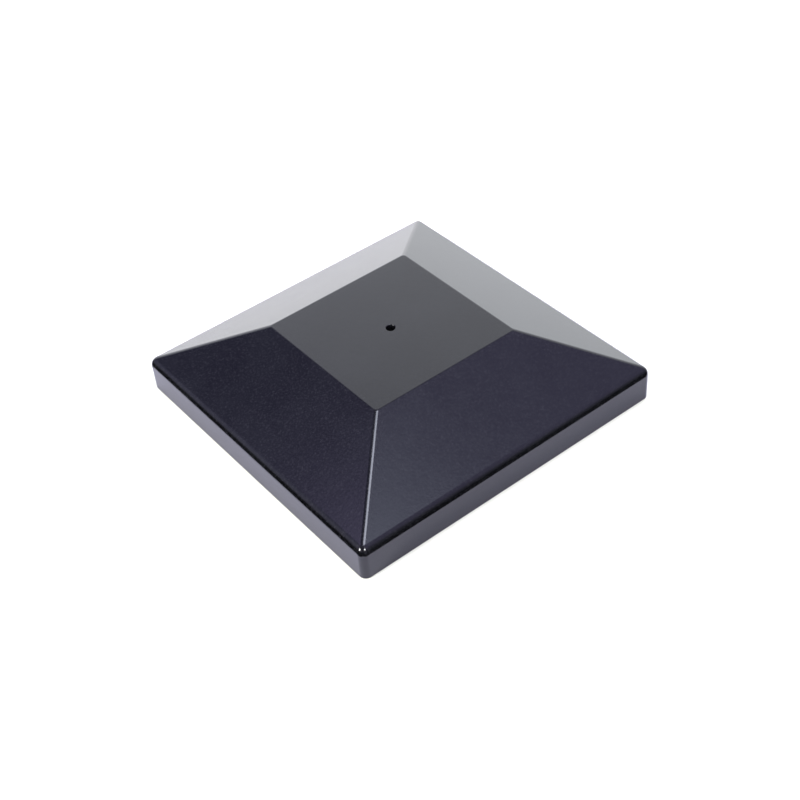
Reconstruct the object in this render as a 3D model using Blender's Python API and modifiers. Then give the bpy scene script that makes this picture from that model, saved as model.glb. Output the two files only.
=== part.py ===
"""Square fence post cap with a flat-topped hipped roof.

A hollow moulded shell carries radial ribs and a screw boss inside. A metal sleeve stands in the boss, a foam
ring seals the screw to the end of the post, and eight foam pads grip the post inside the skirt.

Metres, +Z up. The origin is the centre of the skirt's bottom rim, and the cap's sides lie along X and Y.
"""

from math import acos, atan, cos, pi, tan

import bmesh
import bpy
from mathutils import Matrix

MM = 0.001

# Driving dimensions of the shell.
POST_WIDTH = 150 * MM  # the square post that the cap covers
PAD_SPACE = 2 * MM  # between the post and the skirt
WALL = 3 * MM
CAP_HEIGHT = 37 * MM
SKIRT_HEIGHT = 16 * MM  # up to the sharp corner where roof and skirt would meet
PLATEAU_WIDTH = 76 * MM
SEAT_HEIGHT = 14 * MM  # how far the post enters
CORNER_RADIUS = 3 * MM  # upright corners of the skirt
EAVES_RADIUS = 4.8 * MM  # between skirt and roof
HIP_RADIUS = 3.8 * MM  # along the four sloping hips
PLATEAU_RADIUS = 1.8 * MM
RIM_RADIUS = 0.4 * MM
ROUND_SEGMENTS = 4  # facets across each rounded edge

# Ribs, boss and screw hole inside the shell.
RIB_THICKNESS = 2 * MM
BOSS_RADIUS = 7.5 * MM
SCREW_HOLE_RADIUS = 2.1 * MM
SKIN_OVER_SLEEVE = 4 * MM
GAP = 0.3 * MM  # between pieces that touch

# Fitted pieces.
SLEEVE_RADIUS = 4 * MM
SLEEVE_BORE_RADIUS = 2.3 * MM
FLANGE_RADIUS = 9 * MM
FLANGE_THICKNESS = 1 * MM
SEAL_RADIUS = 16 * MM
SEAL_THICKNESS = 2 * MM
PAD_LENGTH = 30 * MM
PAD_HEIGHT = 10 * MM
PAD_CORNER_RADIUS = 2 * MM
PAD_OFFSET = 45 * MM  # pad centre from the middle of its side
PAD_BOTTOM = 2 * MM
TURNED_STEPS = 48

# Sizes that follow from them.
CAP_WIDTH = POST_WIDTH + 2 * (PAD_SPACE + WALL)
HALF_WIDTH = CAP_WIDTH / 2
HALF_PLATEAU = PLATEAU_WIDTH / 2
ROOF_RISE = (CAP_HEIGHT - SKIRT_HEIGHT) / (HALF_WIDTH - HALF_PLATEAU)  # height gained per unit of run
ROOF_ANGLE = atan(ROOF_RISE)
ROOF_DROP = WALL / cos(ROOF_ANGLE)  # roof thickness measured straight down
INNER_HALF_WIDTH = HALF_WIDTH - WALL
INNER_EAVES = SKIRT_HEIGHT + WALL * ROOF_RISE - ROOF_DROP
INNER_TOP = CAP_HEIGHT - WALL
INNER_HALF_PLATEAU = HALF_WIDTH - (INNER_TOP + ROOF_DROP - SKIRT_HEIGHT) / ROOF_RISE
FLANGE_TOP = SEAT_HEIGHT + FLANGE_THICKNESS
SLEEVE_BORE_TOP = CAP_HEIGHT - SKIN_OVER_SLEEVE
CUT_MARGIN = 5 * MM  # how far a cutter runs past the surface it cuts

# The angle that the surface turns through at each kind of edge of a roofed block.
EDGE_TURNS = {
    "rim": pi / 2,
    "corner": pi / 2,
    "eaves": pi / 2 - ROOF_ANGLE,
    "hip": acos(cos(ROOF_ANGLE) ** 2),
    "plateau": ROOF_ANGLE,
}

# Red, green, blue, roughness and metallic.
FINISHES = {
    "black_plastic": (0.012, 0.012, 0.016, 0.3, 0),
    "aluminium": (0.72, 0.73, 0.74, 0.35, 1),
    "foam_rubber": (0.035, 0.035, 0.037, 0.9, 0),
}


def clear_scene():
    for obj in list(bpy.data.objects):
        bpy.data.objects.remove(obj, do_unlink=True)


def new_collection(name):
    collection = bpy.data.collections.new(name)
    bpy.context.scene.collection.children.link(collection)
    return collection


def new_object(name, bm, collection):
    """Turns the bmesh into an object's mesh."""
    mesh = bpy.data.meshes.new(name)
    bm.to_mesh(mesh)
    bm.free()
    obj = bpy.data.objects.new(name, mesh)
    collection.objects.link(obj)
    return obj


def make_material(name):
    red, green, blue, roughness, metallic = FINISHES[name]
    material = bpy.data.materials.new(name)
    material.use_nodes = True
    shader = material.node_tree.nodes["Principled BSDF"]
    shader.inputs["Base Color"].default_value = (red, green, blue, 1)
    shader.inputs["Roughness"].default_value = roughness
    shader.inputs["Metallic"].default_value = metallic
    return material


def as_cutter(obj):
    obj.hide_render = True
    obj.display_type = "WIRE"
    return obj


def subtract(obj, cutter):
    modifier = obj.modifiers.new(f"without_{cutter.name}", "BOOLEAN")
    modifier.operation = "DIFFERENCE"
    modifier.solver = "EXACT"
    modifier.object = cutter


def box_cutter(name, size, bottom, collection):
    bm = bmesh.new()
    centre = Matrix.Translation((0, 0, bottom + size[2] / 2))
    bmesh.ops.create_cube(bm, size=1, matrix=centre @ Matrix.Diagonal((*size, 1)))
    return as_cutter(new_object(name, bm, collection))


def cylinder_cutter(name, radius, bottom, top, collection):
    bm = bmesh.new()
    bmesh.ops.create_cone(
        bm,
        cap_ends=True,
        segments=TURNED_STEPS,
        radius1=radius,
        radius2=radius,
        depth=top - bottom,
        matrix=Matrix.Translation((0, 0, (bottom + top) / 2)),
    )
    return as_cutter(new_object(name, bm, collection))


def roofed_block(name, half_width, half_top, heights, radii, collection):
    """A square block under a flat-topped hipped roof.

    heights are those of the block's rim, eaves and plateau, and radii those of its rounded kinds of edge.
    """
    bm = bmesh.new()
    body_height = heights["eaves"] - heights["rim"]
    centre = Matrix.Translation((0, 0, heights["rim"] + body_height / 2))
    size = Matrix.Diagonal((2 * half_width, 2 * half_width, body_height, 1))
    bmesh.ops.create_cube(bm, size=1, matrix=centre @ size)
    ceiling = max(bm.faces, key=lambda face: face.calc_center_median().z)
    raised = bmesh.ops.extrude_discrete_faces(bm, faces=[ceiling])["faces"][0]
    for vert in raised.verts:
        vert.co.x *= half_top / half_width
        vert.co.y *= half_top / half_width
        vert.co.z = heights["plateau"]

    setbacks = {kind: radius * tan(EDGE_TURNS[kind] / 2) for kind, radius in radii.items()}
    widest = max(setbacks.values())
    weights = bm.edges.layers.float.new("bevel_weight_edge")
    for edge in bm.edges:
        edge[weights] = setbacks.get(edge_kind(edge, heights), 0) / widest
    block = new_object(name, bm, collection)
    block.data.shade_smooth()
    bevel = block.modifiers.new("rounded_edges", "BEVEL")
    bevel.limit_method = "WEIGHT"
    bevel.width = widest
    bevel.segments = ROUND_SEGMENTS
    bevel.harden_normals = True
    return block


def edge_kind(edge, heights):
    levels = [min(heights, key=lambda level: abs(heights[level] - vert.co.z)) for vert in edge.verts]
    if levels[0] == levels[1]:
        return levels[0]
    return "hip" if "plateau" in levels else "corner"


def turned(name, profile, collection):
    """A ring turned about Z from a closed profile of (radius, height) points, down its outer side first."""
    bm = bmesh.new()
    points = [bm.verts.new((radius, 0, height)) for radius, height in profile]
    for start, end in zip(points, points[1:] + points[:1]):
        bm.edges.new((start, end))
    ring = new_object(name, bm, collection)
    screw = ring.modifiers.new("turn", "SCREW")
    screw.steps = screw.render_steps = TURNED_STEPS
    screw.use_merge_vertices = True
    screw.merge_threshold = 0.01 * MM
    return ring


def make_cavity(cutters):
    """The shell's hollow: the outer form one wall further in, less the ribs and the boss, which stay."""
    heights = {"rim": -CUT_MARGIN, "eaves": INNER_EAVES, "plateau": INNER_TOP}
    radii = {"corner": WALL / 3, "eaves": EAVES_RADIUS - WALL}
    cavity = roofed_block("cavity", INNER_HALF_WIDTH, INNER_HALF_PLATEAU, heights, radii, cutters)
    rib_size = (2 * CAP_WIDTH, RIB_THICKNESS, CAP_HEIGHT - SEAT_HEIGHT)
    for index in range(4):
        ribs = box_cutter(f"ribs_{index}", rib_size, SEAT_HEIGHT, cutters)
        ribs.rotation_euler.z = index * pi / 4
        subtract(cavity, ribs)
    subtract(cavity, cylinder_cutter("boss", BOSS_RADIUS, SEAT_HEIGHT, CAP_HEIGHT, cutters))
    return as_cutter(cavity)


def make_shell(parts, cutters):
    heights = {"rim": 0, "eaves": SKIRT_HEIGHT, "plateau": CAP_HEIGHT}
    radii = {
        "rim": RIM_RADIUS,
        "corner": CORNER_RADIUS,
        "eaves": EAVES_RADIUS,
        "hip": HIP_RADIUS,
        "plateau": PLATEAU_RADIUS,
    }
    shell = roofed_block("cap_shell", HALF_WIDTH, HALF_PLATEAU, heights, radii, parts)
    subtract(shell, make_cavity(cutters))
    drills = [
        ("screw_hole", SCREW_HOLE_RADIUS, SEAT_HEIGHT, CAP_HEIGHT + CUT_MARGIN),
        ("sleeve_bore", SLEEVE_RADIUS + GAP, SEAT_HEIGHT - CUT_MARGIN, SLEEVE_BORE_TOP),
        ("seal_recess", SEAL_RADIUS + GAP, SEAT_HEIGHT - CUT_MARGIN, FLANGE_TOP + GAP),
    ]
    for name, radius, bottom, top in drills:
        subtract(shell, cylinder_cutter(name, radius, bottom, top, cutters))
    return shell


def make_sleeve(parts):
    """A flanged tube that takes the pull of the screw, so that the roof isn't drawn down."""
    top = SLEEVE_BORE_TOP - GAP
    profile = [
        (SLEEVE_RADIUS, top),
        (SLEEVE_RADIUS, FLANGE_TOP),
        (FLANGE_RADIUS, FLANGE_TOP),
        (FLANGE_RADIUS, SEAT_HEIGHT),
        (SLEEVE_BORE_RADIUS, SEAT_HEIGHT),
        (SLEEVE_BORE_RADIUS, top),
    ]
    return turned("screw_sleeve", profile, parts)


def make_end_seal(parts):
    """A foam ring round the sleeve's flange, which the end of the post presses into its recess."""
    bottom = FLANGE_TOP - SEAL_THICKNESS
    inner = FLANGE_RADIUS + GAP
    profile = [(SEAL_RADIUS, FLANGE_TOP), (SEAL_RADIUS, bottom), (inner, bottom), (inner, FLANGE_TOP)]
    return turned("end_seal", profile, parts)


def make_pad(name, parts):
    """A flat foam pad whose four corners are rounded. Its thickness lies along Y."""
    thickness = PAD_SPACE - 2 * GAP
    bm = bmesh.new()
    bmesh.ops.create_cube(bm, size=1, matrix=Matrix.Diagonal((PAD_LENGTH, thickness, PAD_HEIGHT, 1)))
    corners = [edge for edge in bm.edges if edge.verts[0].co.y * edge.verts[1].co.y < 0]
    bmesh.ops.bevel(
        bm, geom=corners, offset=PAD_CORNER_RADIUS, segments=ROUND_SEGMENTS, profile=0.5, affect="EDGES"
    )
    return new_object(name, bm, parts)


def make_pads(parts):
    """Two foam pads inside each side of the skirt, left and right as seen from outside."""
    pads = []
    for quarter, side in enumerate(("front", "right", "back", "left")):
        for hand, sign in (("left", -1), ("right", 1)):
            pad = make_pad(f"grip_pad_{side}_{hand}", parts)
            place = (sign * PAD_OFFSET, PAD_SPACE / 2 - INNER_HALF_WIDTH, PAD_BOTTOM + PAD_HEIGHT / 2)
            pad.matrix_world = Matrix.Rotation(quarter * pi / 2, 4, "Z") @ Matrix.Translation(place)
            pads.append(pad)
    return pads


def main():
    clear_scene()
    parts = new_collection("fence_post_cap")
    cutters = new_collection("cutters")
    groups = {
        "black_plastic": [make_shell(parts, cutters)],
        "aluminium": [make_sleeve(parts)],
        "foam_rubber": [make_end_seal(parts), *make_pads(parts)],
    }
    for finish, pieces in groups.items():
        material = make_material(finish)
        for piece in pieces:
            piece.data.materials.append(material)


main()
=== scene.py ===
"""Look of the fence post cap: finely rounded pieces, procedural materials and a pale studio."""

from math import acos, atan, cos, hypot, pi, radians, sin, tan

import bmesh
import bpy
from mathutils import Matrix, Vector


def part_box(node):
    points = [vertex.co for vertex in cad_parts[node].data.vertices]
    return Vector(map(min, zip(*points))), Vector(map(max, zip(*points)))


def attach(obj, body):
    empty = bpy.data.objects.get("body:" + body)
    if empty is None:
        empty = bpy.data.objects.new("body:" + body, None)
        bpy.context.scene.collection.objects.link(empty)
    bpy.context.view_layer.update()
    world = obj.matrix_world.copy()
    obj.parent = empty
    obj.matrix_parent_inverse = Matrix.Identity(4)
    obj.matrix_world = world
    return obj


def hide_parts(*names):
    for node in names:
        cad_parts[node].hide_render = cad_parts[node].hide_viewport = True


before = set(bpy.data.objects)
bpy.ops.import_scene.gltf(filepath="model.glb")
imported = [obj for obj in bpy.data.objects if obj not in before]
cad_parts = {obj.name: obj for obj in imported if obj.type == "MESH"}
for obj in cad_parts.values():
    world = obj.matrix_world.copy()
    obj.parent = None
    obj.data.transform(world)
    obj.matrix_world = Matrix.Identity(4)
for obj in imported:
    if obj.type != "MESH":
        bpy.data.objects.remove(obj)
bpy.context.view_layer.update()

MM = 0.001
BODY = "root"

# The camera, in degrees and metres. Azimuth 0 looks along +Y.
CAMERA_AZIMUTH = -35.14
CAMERA_ELEVATION = 41.5
CAMERA_DISTANCE = 0.635
CAMERA_ROLL = -5.23
CAMERA_AIM = (1.2 * MM, -4.2 * MM)  # right and up of the origin, as the camera sees it
CAMERA_LENS = 63.0  # millimetres, as is the sensor
SENSOR_WIDTH = 36

# Shell. Its rounds differ slightly from the CAD solid's, inside the same outer sizes.
WALL = 3 * MM
SKIRT_HEIGHT = 16 * MM
PLATEAU_WIDTH = 76 * MM
SEAT_HEIGHT = 14 * MM
CORNER_RADIUS = 3.2 * MM
EAVES_RADIUS = 4.8 * MM
HIP_RADIUS = 3.8 * MM
PLATEAU_RADIUS = 1.5 * MM
RIM_RADIUS = 0.8 * MM
INNER_RADIUS = 1 * MM  # of the hollow's corners, hips and plateau edge
RIB_THICKNESS = 2 * MM
BOSS_RADIUS = 7.5 * MM
SCREW_HOLE_RADIUS = 2.1 * MM
HOLE_LIP = 0.35 * MM  # radius of the round where the hole meets the plateau
LEAD_IN = 0.5 * MM  # the skirt's mouth is wider by this on each side, to start the cap on its post
FOOT_CHAMFER = 0.3 * MM  # on the ribs' and the boss's lower edges
DRAFT = 0.15 * MM  # how much the ribs and the boss thicken on each side towards the roof
GAP = 0.3 * MM  # between pieces that touch
CUT_MARGIN = 5 * MM  # how far a cutter runs past the surface that it cuts

# Fitted pieces.
SLEEVE_RADIUS = 4 * MM
SLEEVE_BORE_RADIUS = 2.3 * MM
FLANGE_THICKNESS = 1 * MM
SLEEVE_CHAMFER = 0.25 * MM
SEAL_HOLE_RADIUS = 9.3 * MM
SEAL_ROUND = 0.6 * MM
PAD_CORNER_RADIUS = 2 * MM
PAD_ROUND = 0.5 * MM
PAD_CROWN = 0.2 * MM  # how far the middle of the face stands above its edge
PAD_BACK_CHAMFER = 0.2 * MM  # round the side that is stuck to the skirt
PAD_LEAST_CORNER = 0.2 * MM  # what the corner radius shrinks to towards the middle of the face

# How many straight steps each round is made of.
CORNER_STEPS = 14
INNER_CORNER_STEPS = 6
EAVES_STEPS = 16
PLATEAU_STEPS = 8
RIM_STEPS = 6
LIP_STEPS = 6
FILLET_STEPS = 4
FOAM_STEPS = 5
CROWN_STEPS = 6
PAD_CORNER_STEPS = 6

# Sizes that follow from the frame.
SHELL_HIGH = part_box("cap_shell")[1]
SLEEVE_LOW, SLEEVE_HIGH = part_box("screw_sleeve")
SEAL_LOW, SEAL_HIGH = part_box("end_seal")
HALF_WIDTH = SHELL_HIGH.x
CAP_HEIGHT = SHELL_HIGH.z
HALF_PLATEAU = PLATEAU_WIDTH / 2
ROOF_RISE = (CAP_HEIGHT - SKIRT_HEIGHT) / (HALF_WIDTH - HALF_PLATEAU)  # height gained per unit of run
ROOF_ANGLE = atan(ROOF_RISE)
ROOF_DROP = WALL / cos(ROOF_ANGLE)  # roof thickness measured straight down
RIB_LINES = 4  # each runs right across the cap, so it makes two of the eight ribs


# ---------------------------------------------------------------- mesh helpers


def new_object(name, bm):
    mesh = bpy.data.meshes.new(name)
    bm.to_mesh(mesh)
    bm.free()
    obj = bpy.data.objects.new(name, mesh)
    bpy.context.scene.collection.objects.link(obj)
    return obj


def arc(centre, radius, start, end, steps):
    """Points of an arc as (across, up) pairs. Angles run anticlockwise from the across axis."""
    angles = [start + (end - start) * index / steps for index in range(steps + 1)]
    return [(centre[0] + radius * cos(angle), centre[1] + radius * sin(angle)) for angle in angles]


def rounded_outline(half_x, half_y, corner, steps):
    """A rectangle with round corners, anticlockwise."""
    points = []
    for quarter, (side_x, side_y) in enumerate(((1, 1), (-1, 1), (-1, -1), (1, -1))):
        centre = (side_x * (half_x - corner), side_y * (half_y - corner))
        points += arc(centre, corner, quarter * pi / 2, (quarter + 1) * pi / 2, steps)
    return points


def circle(radius, steps):
    return arc((0, 0), radius, 0, 2 * pi, steps)[:-1]


def loft(name, sections):
    """A closed solid through level outlines. Each section is (outline, height), upwards."""
    bm = bmesh.new()
    rings = [[bm.verts.new((x, y, height)) for x, y in outline] for outline, height in sections]
    count = len(rings[0])
    for lower, upper in zip(rings, rings[1:]):
        for index in range(count):
            following = (index + 1) % count
            bm.faces.new((lower[index], lower[following], upper[following], upper[index]))
    bm.faces.new(reversed(rings[0]))
    bm.faces.new(rings[-1])
    return new_object(name, bm)


def square_loft(name, sections, steps):
    """A closed solid through rounded squares: (half width, height, corner radius) sections, upwards."""
    outlines = []
    for half, height, corner in sections:
        outlines.append((rounded_outline(half, half, corner, steps), height))
    return loft(name, outlines)


def round_plug(name, profile, steps=64):
    """A closed turned solid from (radius, height) points that run upwards."""
    return loft(name, [(circle(radius, steps), height) for radius, height in profile])


def turned_ring(name, profile, steps=96):
    """A ring turned from a closed profile of (radius, height) points."""
    bm = bmesh.new()
    rings = []
    for index in range(steps):
        angle = 2 * pi * index / steps
        rings.append([bm.verts.new((r * cos(angle), r * sin(angle), z)) for r, z in profile])
    count = len(profile)
    for index, ring in enumerate(rings):
        following = rings[(index + 1) % steps]
        for point in range(count):
            other = (point + 1) % count
            bm.faces.new((ring[point], ring[other], following[other], following[point]))
    bmesh.ops.recalc_face_normals(bm, faces=bm.faces)
    return new_object(name, bm)


def cut(obj, cutter):
    modifier = obj.modifiers.new(cutter.name, "BOOLEAN")
    modifier.operation = "DIFFERENCE"
    modifier.solver = "EXACT"
    modifier.object = cutter


def settle(obj, cutters=()):
    """Applies the modifiers and removes the cutters."""
    graph = bpy.context.evaluated_depsgraph_get()
    mesh = bpy.data.meshes.new_from_object(obj.evaluated_get(graph))
    obj.modifiers.clear()
    old = obj.data
    obj.data = mesh
    bpy.data.meshes.remove(old)
    for cutter in cutters:
        bpy.data.objects.remove(cutter, do_unlink=True)


def shade(obj, crease=35):
    """Smooth shading that stays flat on flat faces and keeps creases sharper than the angle in degrees."""
    obj.data.shade_smooth()
    obj.data.set_sharp_from_angle(angle=radians(crease))
    weighted = obj.modifiers.new("weighted_normals", "WEIGHTED_NORMAL")
    weighted.keep_sharp = True


def fit(piece, node, material):
    """The piece stands for a CAD node, takes its finish from a slot and rides on the part's only body."""
    piece.data.materials.clear()
    piece.data.materials.append(material)
    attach(piece, BODY)
    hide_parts(node)


# ---------------------------------------------------------------- materials

# A Mix node's colour inputs and colour output, which share their names with its other sockets.
FIRST_COLOUR = 6
SECOND_COLOUR = 7
MIXED_COLOUR = 2


def add_node(tree, kind, **inputs):
    """A new node with some inputs set. Another node's socket is linked, anything else is a value."""
    made = tree.nodes.new(kind)
    for name, value in inputs.items():
        socket = made.inputs[name.replace("_", " ")]
        if isinstance(value, bpy.types.NodeSocket):
            tree.links.new(value, socket)
        else:
            socket.default_value = value
    return made


def new_material(name, **inputs):
    """A material, its node tree and its Principled shader, with the shader's constant inputs set."""
    material = bpy.data.materials.new(name)
    material.use_nodes = True
    shader = material.node_tree.nodes["Principled BSDF"]
    for key, value in inputs.items():
        shader.inputs[key.replace("_", " ")].default_value = value
    return material, material.node_tree, shader


def noise(tree, place, size, detail=2.0, roughness=0.5):
    """A noise value whose features are about this size in metres."""
    settings = {"Scale": 1 / size, "Detail": detail, "Roughness": roughness}
    return add_node(tree, "ShaderNodeTexNoise", Vector=place, **settings).outputs["Fac"]


def remap(tree, value, low, high, start=0.0, end=1.0):
    """The value, stretched so that low to high becomes start to end, and held there."""
    made = add_node(tree, "ShaderNodeMapRange", Value=value)
    made.interpolation_type = "SMOOTHSTEP"
    for name, number in (("From Min", low), ("From Max", high), ("To Min", start), ("To Max", end)):
        made.inputs[name].default_value = number
    return made.outputs["Result"]


def blend_colours(tree, share, first, second):
    """The first colour where share is 0, the second where it is 1."""
    made = add_node(tree, "ShaderNodeMix")
    made.data_type = "RGBA"
    tree.links.new(share, made.inputs["Factor"])
    for index, colour in ((FIRST_COLOUR, first), (SECOND_COLOUR, second)):
        socket = made.inputs[index]
        if isinstance(colour, bpy.types.NodeSocket):
            tree.links.new(colour, socket)
        else:
            socket.default_value = (*colour, 1)
    return made.outputs[MIXED_COLOUR]


def bumps(tree, layers):
    """A normal from (height value, depth in metres) layers, each laid over the one before."""
    normal = None
    for height, depth in layers:
        made = add_node(tree, "ShaderNodeBump", Height=height, Distance=depth)
        made.inputs["Strength"].default_value = 1.0
        if normal:
            tree.links.new(normal, made.inputs["Normal"])
        normal = made.outputs["Normal"]
    return normal


def make_plastic():
    """Near-black moulded plastic: satin gloss with a faint orange peel, fine mould grain, haze and dust."""
    material, tree, shader = new_material("moulded_black_plastic", IOR=1.5)
    place = add_node(tree, "ShaderNodeTexCoord").outputs["Object"]
    clouds = noise(tree, place, 30 * MM, detail=3)
    smears = noise(tree, place, 8 * MM, detail=4, roughness=0.6)
    peel = noise(tree, place, 2.6 * MM, detail=3, roughness=0.6)
    grain = noise(tree, place, 1.1 * MM, detail=2, roughness=0.7)
    pores = noise(tree, place, 0.9 * MM, detail=2, roughness=0.6)

    deep, hazy, chalky = (0.001, 0.001, 0.0014), (0.0028, 0.003, 0.0036), (0.013, 0.013, 0.015)
    colour = blend_colours(tree, remap(tree, clouds, 0.3, 0.7), deep, hazy)
    colour = blend_colours(tree, remap(tree, pores, 0.48, 0.85), colour, chalky)
    dust = add_node(tree, "ShaderNodeTexVoronoi", Vector=place, Scale=1 / (16 * MM))
    specks = remap(tree, dust.outputs["Distance"], 0.01, 0.018, 1.0, 0.0)
    colour = blend_colours(tree, specks, colour, (0.12, 0.12, 0.13))
    tree.links.new(colour, shader.inputs["Base Color"])

    haze = add_node(tree, "ShaderNodeMath")
    haze.operation = "ADD"
    tree.links.new(remap(tree, smears, 0.25, 0.75, 0.15, 0.18), haze.inputs[0])
    tree.links.new(remap(tree, pores, 0.3, 0.7, -0.01, 0.03), haze.inputs[1])
    tree.links.new(haze.outputs["Value"], shader.inputs["Roughness"])
    normal = bumps(tree, ((peel, 0.015 * MM), (grain, 0.02 * MM)))
    tree.links.new(normal, shader.inputs["Normal"])
    return material


def make_aluminium():
    """Turned aluminium: fine rings left by the tool, seen as grooves and as streaks in the gloss."""
    material, tree, shader = new_material("turned_aluminium", Metallic=1.0)
    place = add_node(tree, "ShaderNodeTexCoord").outputs["Object"]
    parts = add_node(tree, "ShaderNodeSeparateXYZ", Vector=place)
    radius = add_node(tree, "ShaderNodeVectorMath")
    flat = add_node(tree, "ShaderNodeCombineXYZ", X=parts.outputs["X"], Y=parts.outputs["Y"])
    radius.operation = "LENGTH"
    tree.links.new(flat.outputs["Vector"], radius.inputs[0])
    rings = add_node(tree, "ShaderNodeCombineXYZ", X=radius.outputs["Value"], Y=parts.outputs["Z"])
    grooves = noise(tree, rings.outputs["Vector"], 0.12 * MM, detail=2)
    stains = noise(tree, place, 3 * MM, detail=3)
    colour = blend_colours(tree, remap(tree, stains, 0.3, 0.7), (0.62, 0.63, 0.65), (0.76, 0.77, 0.78))
    tree.links.new(colour, shader.inputs["Base Color"])
    tree.links.new(remap(tree, grooves, 0.3, 0.7, 0.24, 0.42), shader.inputs["Roughness"])
    tree.links.new(bumps(tree, ((grooves, 0.004 * MM),)), shader.inputs["Normal"])
    return material


def make_foam():
    """Black closed-cell foam: a skin of small round cells whose middles are pits, with painted shade
    darkening each pit's middle.
    """
    dark, light = (0.02, 0.02, 0.022), (0.045, 0.045, 0.048)
    cell = 0.35 * MM
    material, tree, shader = new_material("closed_cell_foam", IOR=1.45)
    place = add_node(tree, "ShaderNodeTexCoord").outputs["Object"]
    cells = add_node(tree, "ShaderNodeTexVoronoi", Vector=place, Scale=1 / cell)
    walls = remap(tree, cells.outputs["Distance"], 0.05, 0.55)
    shades = noise(tree, place, 4 * cell, detail=3)
    colour = blend_colours(tree, remap(tree, shades, 0.3, 0.7), dark, light)
    # Painted shade: the colour darkens towards each cell's middle, where the bump sinks into a pit.
    pit_painted_shade = remap(tree, cells.outputs["Distance"], 0.0, 0.3, 0.55, 0.0)
    colour = blend_colours(tree, pit_painted_shade, colour, tuple(0.3 * channel for channel in dark))
    tree.links.new(colour, shader.inputs["Base Color"])
    tree.links.new(remap(tree, shades, 0.3, 0.7, 0.72, 0.9), shader.inputs["Roughness"])
    tree.links.new(bumps(tree, ((shades, 0.3 * cell), (walls, 0.25 * cell))), shader.inputs["Normal"])
    return material


# ---------------------------------------------------------------- shell


def hip_in_plan(radius):
    """The corner radius of a level section that gives the sloping hip this radius."""
    turn = acos(cos(ROOF_ANGLE) ** 2)
    setback = radius * tan(turn / 2)
    climb = 1 / cos(ROOF_ANGLE)
    return setback * hypot(1, climb) / climb


def skirt_and_roof(half, start, eaves, top_half, top, corner, eaves_radius, hip_radius, plateau_radius):
    """Sections (half width, height, corner radius) of a skirt and roof with rounded eaves and plateau edge.

    start holds the sections of the skirt's lower end.
    """
    hip_corner = hip_in_plan(hip_radius)
    sections = list(start)
    setback = eaves_radius * tan((pi / 2 - ROOF_ANGLE) / 2)
    bend = arc((half - eaves_radius, eaves - setback), eaves_radius, 0, pi / 2 - ROOF_ANGLE, EAVES_STEPS)
    for index, (across, up) in enumerate(bend):
        share = index / EAVES_STEPS
        smooth_share = share * share * (3 - 2 * share)
        sections.append((across, up, corner + (hip_corner - corner) * smooth_share))
    setback = plateau_radius * tan(ROOF_ANGLE / 2)
    centre = (top_half - setback, top - plateau_radius)
    bend = arc(centre, plateau_radius, pi / 2 - ROOF_ANGLE, pi / 2, PLATEAU_STEPS)
    sections += [(across, up, hip_corner) for across, up in bend]
    return sections


def make_rib_lines():
    """Cutters that leave the eight ribs standing, with chamfered feet and a slight draft."""
    reach = 2 * HALF_WIDTH
    half = RIB_THICKNESS / 2
    levels = (
        (half - FOOT_CHAMFER, SEAT_HEIGHT),
        (half, SEAT_HEIGHT + FOOT_CHAMFER),
        (half + DRAFT, CAP_HEIGHT),
    )
    lines = []
    for index in range(RIB_LINES):
        turn = Matrix.Rotation(index * pi / RIB_LINES, 2)
        sections = []
        for side, height in levels:
            corners = ((-reach, -side), (reach, -side), (reach, side), (-reach, side))
            sections.append(([tuple(turn @ Vector(corner)) for corner in corners], height))
        lines.append(loft(f"ribs_{index}", sections))
    return lines


def make_boss():
    """The cutter that leaves the boss standing."""
    profile = (
        (BOSS_RADIUS - FOOT_CHAMFER, SEAT_HEIGHT),
        (BOSS_RADIUS, SEAT_HEIGHT + FOOT_CHAMFER),
        (BOSS_RADIUS + DRAFT, CAP_HEIGHT),
    )
    return round_plug("boss", profile)


def make_cavity():
    """The hollow under the roof. The ribs and the boss are what it leaves standing."""
    half = HALF_WIDTH - WALL
    top = CAP_HEIGHT - WALL
    top_half = HALF_WIDTH - (top + ROOF_DROP - SKIRT_HEIGHT) / ROOF_RISE
    eaves = SKIRT_HEIGHT + WALL * ROOF_RISE - ROOF_DROP
    mouth = half + LEAD_IN
    start = [(mouth, -CUT_MARGIN, INNER_RADIUS), (mouth, 0, INNER_RADIUS), (half, 2 * LEAD_IN, INNER_RADIUS)]
    rounds = (INNER_RADIUS, EAVES_RADIUS - WALL, INNER_RADIUS, INNER_RADIUS)
    sections = skirt_and_roof(half, start, eaves, top_half, top, *rounds)
    cavity = square_loft("cavity", sections, INNER_CORNER_STEPS)
    helpers = make_rib_lines() + [make_boss()]
    for helper in helpers:
        cut(cavity, helper)
    settle(cavity, helpers)
    return cavity


def screw_hole_profile():
    """The hole's wall, with a small round lip where it meets the plateau."""
    mouth = SCREW_HOLE_RADIUS + HOLE_LIP
    profile = [(SCREW_HOLE_RADIUS, SEAT_HEIGHT)]
    profile += arc((mouth, CAP_HEIGHT - HOLE_LIP), HOLE_LIP, pi, pi / 2, LIP_STEPS)
    profile.append((mouth, CAP_HEIGHT + CUT_MARGIN))
    return profile


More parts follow.
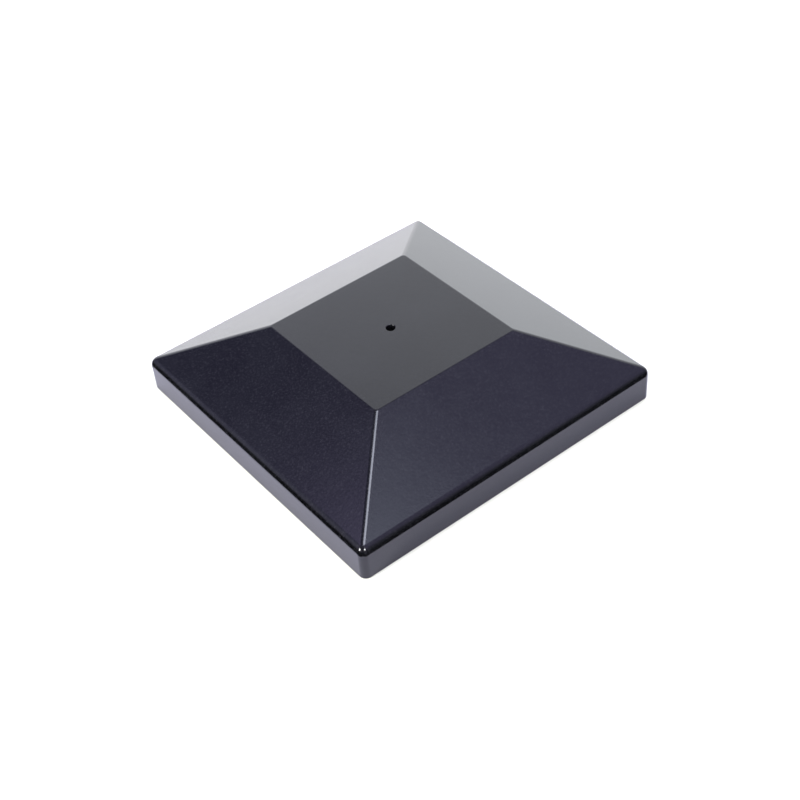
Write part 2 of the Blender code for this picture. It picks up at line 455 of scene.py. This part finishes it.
def make_shell(material):
    """The moulding: the outer form less the hollow, the screw hole and the sleeve's and seal's recesses."""
    rim = arc((HALF_WIDTH - RIM_RADIUS, RIM_RADIUS), RIM_RADIUS, -pi / 2, 0, RIM_STEPS)
    start = [(across, up, CORNER_RADIUS - (HALF_WIDTH - across)) for across, up in rim]
    rounds = (CORNER_RADIUS, EAVES_RADIUS, HIP_RADIUS, PLATEAU_RADIUS)
    sections = skirt_and_roof(HALF_WIDTH, start, SKIRT_HEIGHT, HALF_PLATEAU, CAP_HEIGHT, *rounds)
    shell = square_loft("shell_moulding", sections, CORNER_STEPS)

    bore_radius = SLEEVE_RADIUS + GAP
    recess_radius = SEAL_HIGH.x + GAP
    below = SEAT_HEIGHT - CUT_MARGIN
    cutters = [
        make_cavity(),
        round_plug("screw_hole", screw_hole_profile()),
        round_plug("sleeve_bore", [(bore_radius, below), (bore_radius, SLEEVE_HIGH.z + GAP)]),
        round_plug("seal_recess", [(recess_radius, below), (recess_radius, SEAL_HIGH.z + GAP)]),
    ]
    for cutter in cutters:
        cut(shell, cutter)
    settle(shell, cutters)
    shade(shell)
    fit(shell, "cap_shell", material)


# ---------------------------------------------------------------- pieces inside the shell


def make_sleeve(material):
    """The turned metal sleeve that takes the pull of the fixing screw."""
    low, high = SLEEVE_LOW.z, SLEEVE_HIGH.z
    flange = SLEEVE_HIGH.x
    chamfer = SLEEVE_CHAMFER
    shoulder = low + FLANGE_THICKNESS
    profile = [
        (SLEEVE_BORE_RADIUS + chamfer, low),
        (flange - chamfer, low),
        (flange, low + chamfer),
        (flange, shoulder - chamfer),
        (flange - chamfer, shoulder),
    ]
    profile += arc((SLEEVE_RADIUS + chamfer, shoulder + chamfer), chamfer, -pi / 2, -pi, FILLET_STEPS)
    profile += [
        (SLEEVE_RADIUS, high - chamfer),
        (SLEEVE_RADIUS - chamfer, high),
        (SLEEVE_BORE_RADIUS + chamfer, high),
        (SLEEVE_BORE_RADIUS, high - chamfer),
        (SLEEVE_BORE_RADIUS, low + chamfer),
    ]
    sleeve = turned_ring("sleeve_turning", profile)
    shade(sleeve, crease=30)
    fit(sleeve, "screw_sleeve", material)


def make_seal(material):
    """The foam ring round the flange, with soft edges."""
    low, high = SEAL_LOW.z, SEAL_HIGH.z
    inner, outer = SEAL_HOLE_RADIUS, SEAL_HIGH.x
    # Each corner: radius, height, which way the ring's middle lies from it, and where its round starts.
    corners = (
        (outer, low, -1, 1, -90),
        (outer, high, -1, -1, 0),
        (inner, high, 1, -1, 90),
        (inner, low, 1, 1, 180),
    )
    profile = []
    for radius, height, across, up, start in corners:
        centre = (radius + across * SEAL_ROUND, height + up * SEAL_ROUND)
        profile += arc(centre, SEAL_ROUND, radians(start), radians(start + 90), FOAM_STEPS)
    seal = turned_ring("foam_ring", profile)
    shade(seal, crease=60)
    fit(seal, "end_seal", material)


def pad_sections(half_length, half_height, thickness):
    """Outlines of a pad that lies on its back, upwards: chamfered back, soft edge, crowned face."""
    shoulder = thickness - PAD_CROWN - PAD_ROUND
    steps = [(PAD_BACK_CHAMFER, 0.0), (0.0, PAD_BACK_CHAMFER), (0.0, shoulder)]
    for inset, rise in arc((PAD_ROUND, 0), PAD_ROUND, pi, pi / 2, FOAM_STEPS)[1:]:
        steps.append((inset, shoulder + rise))
    reach = half_height - PAD_ROUND
    for index in range(1, CROWN_STEPS):
        share = index / CROWN_STEPS
        steps.append((PAD_ROUND + share * reach, thickness - PAD_CROWN * (1 - share) ** 2))
    sections = []
    for inset, rise in steps:
        corner = max(PAD_CORNER_RADIUS - inset, PAD_LEAST_CORNER)
        outline = rounded_outline(half_length - inset, half_height - inset, corner, PAD_CORNER_STEPS)
        sections.append((outline, rise))
    return sections


def make_pad(node, material):
    """A foam strip stuck inside the skirt: soft edges, and a face crowned towards the post."""
    low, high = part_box(node)
    middle = (low + high) / 2
    size = high - low
    across_x = size.x < size.y
    length, thickness = (size.y, size.x) if across_x else (size.x, size.y)
    pad = loft("foam_" + node, pad_sections(length / 2, size.z / 2, thickness))
    inward = -1 if (middle.x if across_x else middle.y) > 0 else 1
    normal = Vector((inward, 0, 0)) if across_x else Vector((0, inward, 0))
    along = Vector((0, 0, 1)).cross(normal)
    turn = Matrix((along, Vector((0, 0, 1)), normal)).transposed()
    start = middle - normal * thickness / 2
    pad.data.transform(Matrix.Translation(start) @ turn.to_4x4())
    shade(pad, crease=60)
    fit(pad, node, material)


# ---------------------------------------------------------------- camera and studio

# Soft patches of sky that the plastic mirrors: azimuth (from +X towards +Y) and elevation of the middle, half
# angle that is evenly lit and half angle where the light ends, all in degrees, and the radiance.
SKY_PATCHES = (
    ("room", 0, 90, 84, 92, (0.2, 0.2, 0.28)),
    ("upper_left", 108, 42, 10, 50, (0.05, 0.045, 0.17)),
    ("front_low", -92, -6, 4, 28, (0.3, 0.3, 0.38)),
    ("horizon", 70, -14, 4, 36, (0.2, 0.15, 0.15)),
    ("backdrop", 50, -5, 25, 69, (1.92, 1.98, 2.07)),
    ("right_wall", -38, 54, 12, 50, (0.45, 0.41, 0.76)),
    ("right_glow", -44, 64, 3, 9, (1.6, 1.8, 2.1)),
    ("left_wall", 142, 22, 4, 26, (0.34, 0.34, 0.5)),
    ("left_glow", 132, 50, 2, 11, (1.3, 1.15, 1.9)),
    ("hip_lamp", -18, 84, 8, 12, (9.0, 9.5, 11.0)),
)
BACKGROUND = (1.15, 1.15, 1.15)  # what the camera sees instead

# White lamps: azimuth, elevation and apparent width in degrees, and strength.
LAMPS = (
    ("left_lamp", 168, 24, 18, 4.4),
    ("right_lamp", -97, 38, 15, 2.8),
)

FLOOR_HALF_WIDTH = 1.5
FLOOR_COLOUR = (0.94, 0.94, 0.8)  # warm, against the violet light that falls on it under the skirts

CARD_THICKNESS = 0.1 * MM  # the card lies on the floor, and its face is at the foot of the cap
# The card reaches this far in front of the cap and behind it.
CARD_FRONT = 14 * MM
CARD_BACK = 60 * MM
CARD_COLOUR = (0.81, 0.8, 0.88)


def make_camera():
    """The camera circles the origin, then turns to its aim and rolls."""
    azimuth, elevation, roll = (radians(a) for a in (CAMERA_AZIMUTH, CAMERA_ELEVATION, CAMERA_ROLL))
    back = Vector((sin(azimuth) * cos(elevation), -cos(azimuth) * cos(elevation), sin(elevation)))
    right = Vector((0, 0, 1)).cross(back).normalized()
    up = back.cross(right)
    aim = right * CAMERA_AIM[0] + up * CAMERA_AIM[1]
    place = back * CAMERA_DISTANCE
    towards = (place - aim).normalized()
    right = Vector((0, 0, 1)).cross(towards).normalized()
    turn = Matrix.Rotation(roll, 4, towards)
    camera = bpy.data.objects.new("camera", bpy.data.cameras.new("camera"))
    bpy.context.scene.collection.objects.link(camera)
    axes = Matrix((right, towards.cross(right), towards)).transposed().to_4x4()
    camera.matrix_world = Matrix.Translation(place) @ turn @ axes
    camera.data.lens = CAMERA_LENS
    camera.data.sensor_width = SENSOR_WIDTH
    bpy.context.scene.camera = camera


def direction(azimuth, elevation):
    """The unit vector towards a place in the sky, from degrees."""
    azimuth, elevation = radians(azimuth), radians(elevation)
    return Vector((cos(azimuth) * cos(elevation), sin(azimuth) * cos(elevation), sin(elevation)))


def make_world():
    """A plain pale background. What lights and mirrors in the cap is the sky of soft patches instead."""
    world = bpy.data.worlds.new("studio")
    bpy.context.scene.world = world
    world.use_nodes = True
    tree = world.node_tree
    place = add_node(tree, "ShaderNodeTexCoord").outputs["Generated"]
    sky = None
    for name, azimuth, elevation, inner, outer, radiance in SKY_PATCHES:
        facing = add_node(tree, "ShaderNodeVectorMath")
        facing.operation = "DOT_PRODUCT"
        facing.inputs[1].default_value = direction(azimuth, elevation)
        tree.links.new(place, facing.inputs[0])
        share = remap(tree, facing.outputs["Value"], cos(radians(outer)), cos(radians(inner)))
        patch = add_node(tree, "ShaderNodeVectorMath")
        patch.name = name
        patch.operation = "SCALE"
        patch.inputs[0].default_value = radiance
        tree.links.new(share, patch.inputs["Scale"])
        total = add_node(tree, "ShaderNodeVectorMath")
        tree.links.new(patch.outputs["Vector"], total.inputs[0])
        if sky:
            tree.links.new(sky, total.inputs[1])
        sky = total.outputs["Vector"]
    in_view = add_node(tree, "ShaderNodeLightPath").outputs["Is Camera Ray"]
    colour = blend_colours(tree, in_view, sky, BACKGROUND)
    tree.links.new(colour, tree.nodes["Background"].inputs["Color"])


def make_lamps():
    for name, azimuth, elevation, width, strength in LAMPS:
        lamp = bpy.data.lights.new(name, "SUN")
        lamp.angle = radians(width)
        lamp.energy = strength
        obj = bpy.data.objects.new(name, lamp)
        obj.rotation_euler = direction(azimuth, elevation).to_track_quat("Z", "Y").to_euler()
        bpy.context.scene.collection.objects.link(obj)


def make_sheet(name, low, high, colour):
    """A level square of matt paint from low to high along both axes."""
    paint = {"Roughness": 1.0, "Specular_IOR_Level": 0.0, "Base_Color": (*colour, 1)}
    material = new_material(name + "_paint", **paint)[0]
    bm = bmesh.new()
    corners = ((low, low), (high, low), (high, high), (low, high))
    bm.faces.new([bm.verts.new((x, y, 0)) for x, y in corners])
    sheet = new_object(name, bm)
    sheet.data.materials.append(material)
    return sheet


def make_floor():
    """A plain pale floor. The plastic mirrors a smaller card in its place and, past it, the sky."""
    floor = make_sheet("floor", -FLOOR_HALF_WIDTH, FLOOR_HALF_WIDTH, FLOOR_COLOUR)
    floor.location.z = -CARD_THICKNESS
    floor.visible_glossy = False
    card = make_sheet("card", -HALF_WIDTH - CARD_FRONT, HALF_WIDTH + CARD_BACK, CARD_COLOUR)
    card.visible_camera = False
    card.visible_diffuse = False
    card.visible_transmission = False
    card.visible_shadow = False


make_camera()
make_shell(make_plastic())
make_sleeve(make_aluminium())
foam = make_foam()
make_seal(foam)
for side in ("front", "right", "back", "left"):
    for hand in ("left", "right"):
        make_pad(f"grip_pad_{side}_{hand}", foam)
make_world()
make_lamps()
make_floor()
bpy.context.scene.view_settings.view_transform = "Standard"
